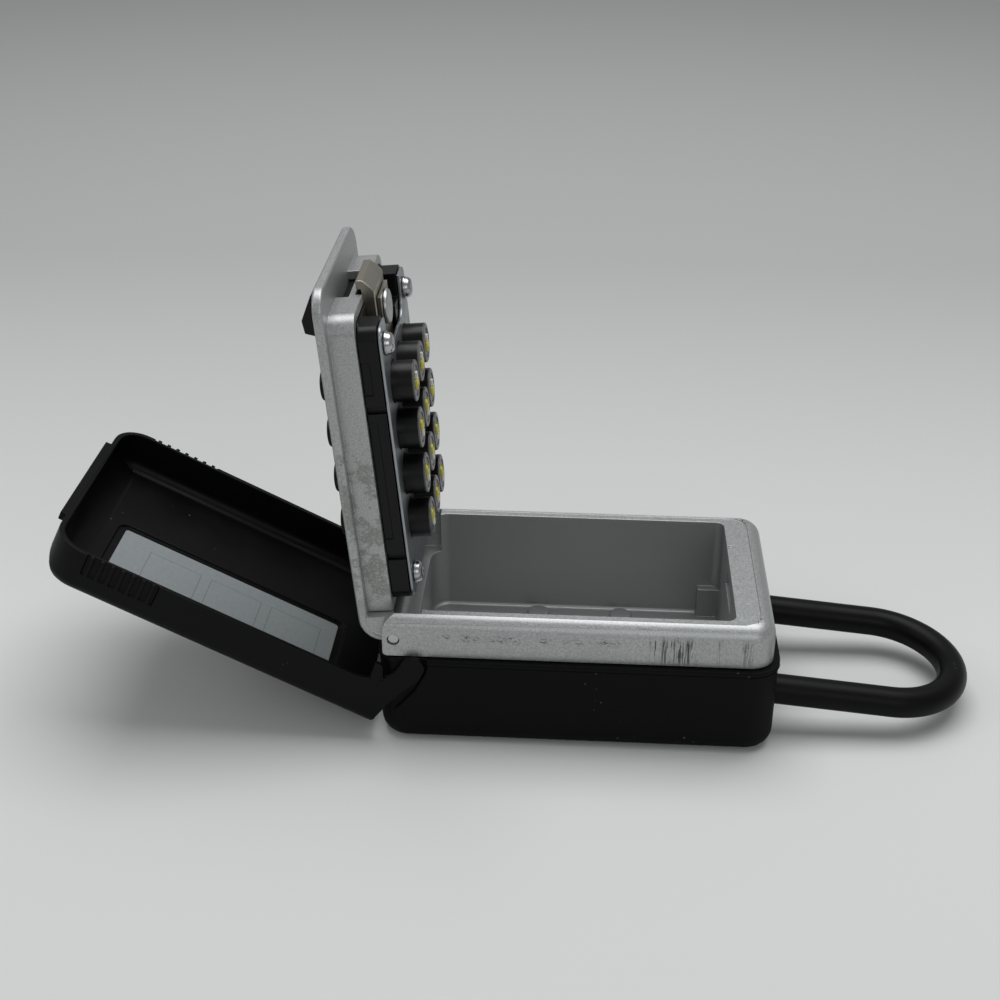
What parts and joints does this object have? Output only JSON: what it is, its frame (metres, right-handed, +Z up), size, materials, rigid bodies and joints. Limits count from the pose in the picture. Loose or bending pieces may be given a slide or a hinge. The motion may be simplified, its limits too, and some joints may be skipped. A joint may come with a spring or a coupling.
{
  "type": "portable key safe",
  "caption": "Portable lock box with a push-button code lock in its lid, a hinged dust cover and a covered shackle.",
  "frame": {"origin": "middle of the flat underside of the jacket, where the box rests", "axes": "+X from the hinge end to the shackle end, +Y across, +Z up out of the cavity"},
  "size_m": [0.2523, 0.069, 0.128],
  "materials": {
    "silver_paint": "satin metallic",
    "jacket_rubber": "matt",
    "cover_plastic": "satin",
    "lock_plastic": "satin",
    "vinyl": "satin",
    "zinc_plate": "satin",
    "screw_steel": "polished",
    "nickel": "polished",
    "shaft_steel": "satin",
    "spring_steel": "satin",
    "arrow_yellow": "satin",
    "label": "matt"
  },
  "bodies": {
    "vault": {"vault_body": "silver_paint", "jacket": "jacket_rubber", "lid_hinge_pin": "shaft_steel", "shackle_latch_spring": "spring_steel"},
    "shackle": {"shackle_bar": "shaft_steel", "shackle_sleeve": "vinyl"},
    "shackle_latch": {"shackle_latch": "zinc_plate"},
    "lid": {"lid_shell": "silver_paint", "lock_housing": "lock_plastic", "lock_back_plate": "zinc_plate", "lock_screw_1": "screw_steel", "lock_screw_2": "screw_steel", "lock_screw_3": "screw_steel", "lock_screw_4": "screw_steel", "latch_bolt_spring": "spring_steel", "clear_lever_spring": "spring_steel", "button_spring_01": "spring_steel", "button_spring_02": "spring_steel", "button_spring_03": "spring_steel", "button_spring_04": "spring_steel", "button_spring_05": "spring_steel", "button_spring_06": "spring_steel", "button_spring_07": "spring_steel", "button_spring_08": "spring_steel", "button_spring_09": "spring_steel", "button_spring_10": "spring_steel", "button_spring_11": "spring_steel", "button_spring_12": "spring_steel"},
    "latch": {"latch_bolt": "nickel", "latch_rivet": "screw_steel", "gate_plate": "nickel", "open_lever": "lock_plastic"},
    "clear_lever": {"clear_lever": "lock_plastic"},
    "dust_cover": {"dust_cover": "cover_plastic", "cover_label": "label"},
    "button_01": {"button_01": "lock_plastic"},
    "code_shaft_01": {"code_shaft_01": "arrow_yellow"},
    "button_02": {"button_02": "lock_plastic"},
    "code_shaft_02": {"code_shaft_02": "arrow_yellow"},
    "button_03": {"button_03": "lock_plastic"},
    "code_shaft_03": {"code_shaft_03": "arrow_yellow"},
    "button_04": {"button_04": "lock_plastic"},
    "code_shaft_04": {"code_shaft_04": "arrow_yellow"},
    "button_05": {"button_05": "lock_plastic"},
    "code_shaft_05": {"code_shaft_05": "arrow_yellow"},
    "button_06": {"button_06": "lock_plastic"},
    "code_shaft_06": {"code_shaft_06": "arrow_yellow"},
    "button_07": {"button_07": "lock_plastic"},
    "code_shaft_07": {"code_shaft_07": "arrow_yellow"},
    "button_08": {"button_08": "lock_plastic"},
    "code_shaft_08": {"code_shaft_08": "arrow_yellow"},
    "button_09": {"button_09": "lock_plastic"},
    "code_shaft_09": {"code_shaft_09": "arrow_yellow"},
    "button_10": {"button_10": "lock_plastic"},
    "code_shaft_10": {"code_shaft_10": "arrow_yellow"},
    "button_11": {"button_11": "lock_plastic"},
    "code_shaft_11": {"code_shaft_11": "arrow_yellow"},
    "button_12": {"button_12": "lock_plastic"},
    "code_shaft_12": {"code_shaft_12": "arrow_yellow"}
  },
  "joints": [
    {"name": "lid_hinge", "type": "hinge", "parent": "vault", "child": "lid", "pos_m": [-0.0495, 0, 0.032], "axis": [0, 1, 0], "range_deg": [0, 95]},
    {"name": "cover_hinge", "type": "hinge", "parent": "vault", "child": "dust_cover", "pos_m": [-0.04435, 0, 0.0244], "axis": [0, 1, 0], "range_deg": [0, 153]},
    {"name": "shackle_slide", "type": "slide", "parent": "vault", "child": "shackle", "axis": [0.9954, 0, -0.0958], "range_m": [0, 0.014]},
    {"name": "shackle_latch_slide", "type": "slide", "parent": "vault", "child": "shackle_latch", "axis": [0, -1, 0], "range_m": [0, 0.003], "stiffness_N_per_m": 400, "springref_m": -0.002, "deforming": ["shackle_latch_spring"]},
    {"name": "latch_slide", "type": "slide", "parent": "lid", "child": "latch", "axis": [0.0872, 0, -0.9962], "range_m": [0, 0.0026], "stiffness_N_per_m": 500, "springref_m": -0.002, "deforming": ["latch_bolt_spring"]},
    {"name": "clear_lever_slide", "type": "slide", "parent": "lid", "child": "clear_lever", "axis": [0.0872, 0, -0.9962], "range_m": [0, 0.0025], "stiffness_N_per_m": 400, "springref_m": -0.002, "deforming": ["clear_lever_spring"]},
    {"name": "button_01_press", "type": "slide", "parent": "lid", "child": "button_01", "axis": [0.9962, 0, 0.0872], "range_m": [0, 0.0025], "stiffness_N_per_m": 400, "springref_m": -0.0015, "deforming": ["button_spring_01"]},
    {"name": "code_shaft_01_turn", "type": "hinge", "parent": "button_01", "child": "code_shaft_01", "pos_m": [-0.05182, -0.0125, 0.05855], "axis": [0.9962, 0, 0.0872], "range_deg": [0, 180]},
    {"name": "button_02_press", "type": "slide", "parent": "lid", "child": "button_02", "axis": [0.9962, 0, 0.0872], "range_m": [0, 0.0025], "stiffness_N_per_m": 400, "springref_m": -0.0015, "deforming": ["button_spring_02"]},
    {"name": "code_shaft_02_turn", "type": "hinge", "parent": "button_02", "child": "code_shaft_02", "pos_m": [-0.05182, 0, 0.05855], "axis": [0.9962, 0, 0.0872], "range_deg": [0, 180]},
    {"name": "button_03_press", "type": "slide", "parent": "lid", "child": "button_03", "axis": [0.9962, 0, 0.0872], "range_m": [0, 0.0025], "stiffness_N_per_m": 400, "springref_m": -0.0015, "deforming": ["button_spring_03"]},
    {"name": "code_shaft_03_turn", "type": "hinge", "parent": "button_03", "child": "code_shaft_03", "pos_m": [-0.05182, 0.0125, 0.05855], "axis": [0.9962, 0, 0.0872], "range_deg": [0, 180]},
    {"name": "button_04_press", "type": "slide", "parent": "lid", "child": "button_04", "axis": [0.9962, 0, 0.0872], "range_m": [0, 0.0025], "stiffness_N_per_m": 400, "springref_m": -0.0015, "deforming": ["button_spring_04"]},
    {"name": "code_shaft_04_turn", "type": "hinge", "parent": "button_04", "child": "code_shaft_04", "pos_m": [-0.05299, -0.0125, 0.07185], "axis": [0.9962, 0, 0.0872], "range_deg": [0, 180]},
    {"name": "button_05_press", "type": "slide", "parent": "lid", "child": "button_05", "axis": [0.9962, 0, 0.0872], "range_m": [0, 0.0025], "stiffness_N_per_m": 400, "springref_m": -0.0015, "deforming": ["button_spring_05"]},
    {"name": "code_shaft_05_turn", "type": "hinge", "parent": "button_05", "child": "code_shaft_05", "pos_m": [-0.05299, 0, 0.07185], "axis": [0.9962, 0, 0.0872], "range_deg": [0, 180]},
    {"name": "button_06_press", "type": "slide", "parent": "lid", "child": "button_06", "axis": [0.9962, 0, 0.0872], "range_m": [0, 0.0025], "stiffness_N_per_m": 400, "springref_m": -0.0015, "deforming": ["button_spring_06"]},
    {"name": "code_shaft_06_turn", "type": "hinge", "parent": "button_06", "child": "code_shaft_06", "pos_m": [-0.05299, 0.0125, 0.07185], "axis": [0.9962, 0, 0.0872], "range_deg": [0, 180]},
    {"name": "button_07_press", "type": "slide", "parent": "lid", "child": "button_07", "axis": [0.9962, 0, 0.0872], "range_m": [0, 0.0025], "stiffness_N_per_m": 400, "springref_m": -0.0015, "deforming": ["button_spring_07"]},
    {"name": "code_shaft_07_turn", "type": "hinge", "parent": "button_07", "child": "code_shaft_07", "pos_m": [-0.05415, -0.0125, 0.08515], "axis": [0.9962, 0, 0.0872], "range_deg": [0, 180]},
    {"name": "button_08_press", "type": "slide", "parent": "lid", "child": "button_08", "axis": [0.9962, 0, 0.0872], "range_m": [0, 0.0025], "stiffness_N_per_m": 400, "springref_m": -0.0015, "deforming": ["button_spring_08"]},
    {"name": "code_shaft_08_turn", "type": "hinge", "parent": "button_08", "child": "code_shaft_08", "pos_m": [-0.05415, 0, 0.08515], "axis": [0.9962, 0, 0.0872], "range_deg": [0, 180]},
    {"name": "button_09_press", "type": "slide", "parent": "lid", "child": "button_09", "axis": [0.9962, 0, 0.0872], "range_m": [0, 0.0025], "stiffness_N_per_m": 400, "springref_m": -0.0015, "deforming": ["button_spring_09"]},
    {"name": "code_shaft_09_turn", "type": "hinge", "parent": "button_09", "child": "code_shaft_09", "pos_m": [-0.05415, 0.0125, 0.08515], "axis": [0.9962, 0, 0.0872], "range_deg": [-180, 0]},
    {"name": "button_10_press", "type": "slide", "parent": "lid", "child": "button_10", "axis": [0.9962, 0, 0.0872], "range_m": [0, 0.0025], "stiffness_N_per_m": 400, "springref_m": -0.0015, "deforming": ["button_spring_10"]},
    {"name": "code_shaft_10_turn", "type": "hinge", "parent": "button_10", "child": "code_shaft_10", "pos_m": [-0.05531, -0.0125, 0.09845], "axis": [0.9962, 0, 0.0872], "range_deg": [-180, 0]},
    {"name": "button_11_press", "type": "slide", "parent": "lid", "child": "button_11", "axis": [0.9962, 0, 0.0872], "range_m": [0, 0.0025], "stiffness_N_per_m": 400, "springref_m": -0.0015, "deforming": ["button_spring_11"]},
    {"name": "code_shaft_11_turn", "type": "hinge", "parent": "button_11", "child": "code_shaft_11", "pos_m": [-0.05531, 0, 0.09845], "axis": [0.9962, 0, 0.0872], "range_deg": [-180, 0]},
    {"name": "button_12_press", "type": "slide", "parent": "lid", "child": "button_12", "axis": [0.9962, 0, 0.0872], "range_m": [0, 0.0025], "stiffness_N_per_m": 400, "springref_m": -0.0015, "deforming": ["button_spring_12"]},
    {"name": "code_shaft_12_turn", "type": "hinge", "parent": "button_12", "child": "code_shaft_12", "pos_m": [-0.05531, 0.0125, 0.09845], "axis": [0.9962, 0, 0.0872], "range_deg": [-180, 0]}
  ],
  "couplings": [
    {"joint": "cover_hinge", "follows": "lid_hinge", "ratio": 1.6105},
    {"joint": "shackle_latch_slide", "follows": "shackle_slide", "ratio": 0.21429}
  ]
}
